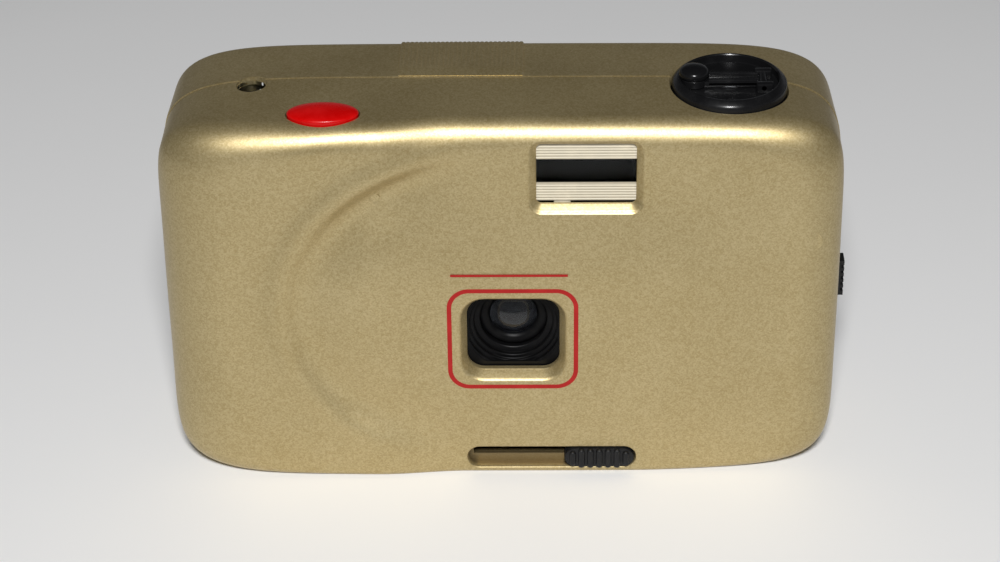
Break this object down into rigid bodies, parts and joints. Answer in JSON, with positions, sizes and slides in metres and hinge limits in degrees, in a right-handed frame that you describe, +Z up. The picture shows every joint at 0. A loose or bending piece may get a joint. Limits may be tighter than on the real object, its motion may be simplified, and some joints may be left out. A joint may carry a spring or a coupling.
{
  "type": "panoramic film camera",
  "caption": "Compact 35 mm film camera in gold with a red oval shutter button, a viewfinder with blinds and a panorama slide switch.",
  "frame": {"origin": "on the flat base, under the middle of the body's width and depth", "axes": "+X to the right as seen from the front, -Y the way the lens looks, +Z up"},
  "size_m": [0.1186, 0.0352, 0.0725],
  "materials": {
    "gold_paint": "satin champagne gold",
    "black_plastic": "fine-grained black",
    "red_plastic": "glossy red",
    "cream_plastic": "ribbed cream",
    "steel": "brushed",
    "glass": "clear"
  },
  "bodies": {
    "camera_body": {"front_cover": "gold_paint", "chassis": "black_plastic", "lens_shroud": "black_plastic", "lens_barrel": "black_plastic", "lens_retaining_ring": "black_plastic", "front_lens": "glass", "aperture_plate": "black_plastic", "shutter_plate": "steel", "blade_spring": "steel", "striker_spring": "steel", "viewfinder_housing": "black_plastic", "viewfinder_front_lens": "glass", "viewfinder_eyepiece": "glass", "counter_window": "glass", "counter_screw": "steel", "door_hinge_pin": "steel", "chassis_screws": "steel", "shutter_screws": "steel", "button_spring": "steel", "release_button_spring": "steel"},
    "door": {"back_door": "gold_paint", "pressure_plate": "black_plastic", "pressure_spring": "steel", "film_window": "glass", "latch_spring": "steel"},
    "latch": {"door_latch": "black_plastic"},
    "blade": {"shutter_blade": "black_plastic"},
    "striker": {"striker_lever": "steel"},
    "release": {"release_lever": "steel"},
    "button": {"shutter_button": "red_plastic"},
    "upper_blind": {"viewfinder_blind_upper": "cream_plastic"},
    "lower_blind": {"viewfinder_blind_lower": "cream_plastic"},
    "upper_mask": {"film_mask_upper": "black_plastic"},
    "lower_mask": {"film_mask_lower": "black_plastic"},
    "switch": {"panorama_slider": "black_plastic", "cam_plate": "steel"},
    "counter": {"frame_counter_dial": "black_plastic"},
    "advance": {"thumbwheel": "black_plastic", "take_up_spool": "black_plastic"},
    "sprocket": {"film_sprocket": "black_plastic"},
    "pawl": {"ratchet_pawl": "steel"},
    "rewind": {"rewind_disc": "black_plastic", "rewind_fork": "steel", "crank_pin": "steel"},
    "handle": {"crank_handle": "black_plastic", "crank_knob": "black_plastic"},
    "rewind_button": {"rewind_release_button": "black_plastic"}
  },
  "joints": [
    {"name": "door_hinge", "type": "hinge", "parent": "camera_body", "child": "door", "pos_m": [-0.0566, 0.00165, 0.03425], "axis": [0, 0, 1], "range_deg": [0, 95]},
    {"name": "latch_slide", "type": "slide", "parent": "door", "child": "latch", "axis": [0, 0, -1], "range_m": [0, 0.004]},
    {"name": "button_press", "type": "slide", "parent": "camera_body", "child": "button", "axis": [0, 0, -1], "range_m": [0, 0.0016], "stiffness_N_per_m": 300, "deforming": ["button_spring"]},
    {"name": "release_turn", "type": "hinge", "parent": "camera_body", "child": "release", "pos_m": [-0.0209, -0.01, 0.0549], "axis": [0, -1, 0], "range_deg": [0, 11]},
    {"name": "striker_turn", "type": "hinge", "parent": "camera_body", "child": "striker", "pos_m": [-0.007, -0.00675, 0.0472], "axis": [0, -1, 0], "range_deg": [0, 18]},
    {"name": "blade_turn", "type": "hinge", "parent": "camera_body", "child": "blade", "pos_m": [-0.0046, -0.00445, 0.0232], "axis": [0, 1, 0], "range_deg": [0, 37]},
    {"name": "panorama_slide", "type": "slide", "parent": "camera_body", "child": "switch", "axis": [-1, 0, 0], "range_m": [0, 0.0167]},
    {"name": "upper_blind_slide", "type": "slide", "parent": "camera_body", "child": "upper_blind", "axis": [0, 0, 1], "range_m": [0, 0.0019]},
    {"name": "lower_blind_slide", "type": "slide", "parent": "camera_body", "child": "lower_blind", "axis": [0, 0, -1], "range_m": [0, 0.0019]},
    {"name": "upper_mask_slide", "type": "slide", "parent": "camera_body", "child": "upper_mask", "axis": [0, 0, 1], "range_m": [0, 0.0055]},
    {"name": "lower_mask_slide", "type": "slide", "parent": "camera_body", "child": "lower_mask", "axis": [0, 0, -1], "range_m": [0, 0.0055]},
    {"name": "counter_turn", "type": "hinge", "parent": "camera_body", "child": "counter", "pos_m": [-0.0353, 0.00035, 0.0647], "axis": [0, 0, 1], "continuous": true},
    {"name": "advance_turn", "type": "hinge", "parent": "camera_body", "child": "advance", "pos_m": [-0.041, 0.00395, 0.056], "axis": [0, 0, 1], "continuous": true},
    {"name": "sprocket_turn", "type": "hinge", "parent": "camera_body", "child": "sprocket", "pos_m": [-0.0237, 0.0058, 0.028], "axis": [0, 0, 1], "continuous": true},
    {"name": "pawl_turn", "type": "hinge", "parent": "camera_body", "child": "pawl", "pos_m": [-0.0186, 0.00335, 0.0557], "axis": [0, 0, 1], "range_deg": [0, 15]},
    {"name": "rewind_turn", "type": "hinge", "parent": "camera_body", "child": "rewind", "pos_m": [0.0386, -0.00075, 0.067], "axis": [0, 0, 1], "continuous": true},
    {"name": "handle_fold", "type": "hinge", "parent": "rewind", "child": "handle", "pos_m": [0.0442, -0.00075, 0.06985], "axis": [0, 1, 0], "range_deg": [0, 100]},
    {"name": "rewind_button_press", "type": "slide", "parent": "camera_body", "child": "rewind_button", "axis": [0, 0, 1], "range_m": [0, 0.0012], "stiffness_N_per_m": 200, "deforming": ["release_button_spring"]}
  ],
  "couplings": [
    {"joint": "release_turn", "follows": "button_press", "rad_per_m": 119.94},
    {"joint": "striker_turn", "follows": "button_press", "rad_per_m": 196.3},
    {"joint": "blade_turn", "follows": "button_press", "rad_per_m": 403.56},
    {"joint": "upper_blind_slide", "follows": "panorama_slide", "ratio": 0.11377},
    {"joint": "lower_blind_slide", "follows": "panorama_slide", "ratio": 0.11377},
    {"joint": "upper_mask_slide", "follows": "panorama_slide", "ratio": 0.32934},
    {"joint": "lower_mask_slide", "follows": "panorama_slide", "ratio": 0.32934},
    {"joint": "counter_turn", "follows": "sprocket_turn", "ratio": -0.025}
  ]
}
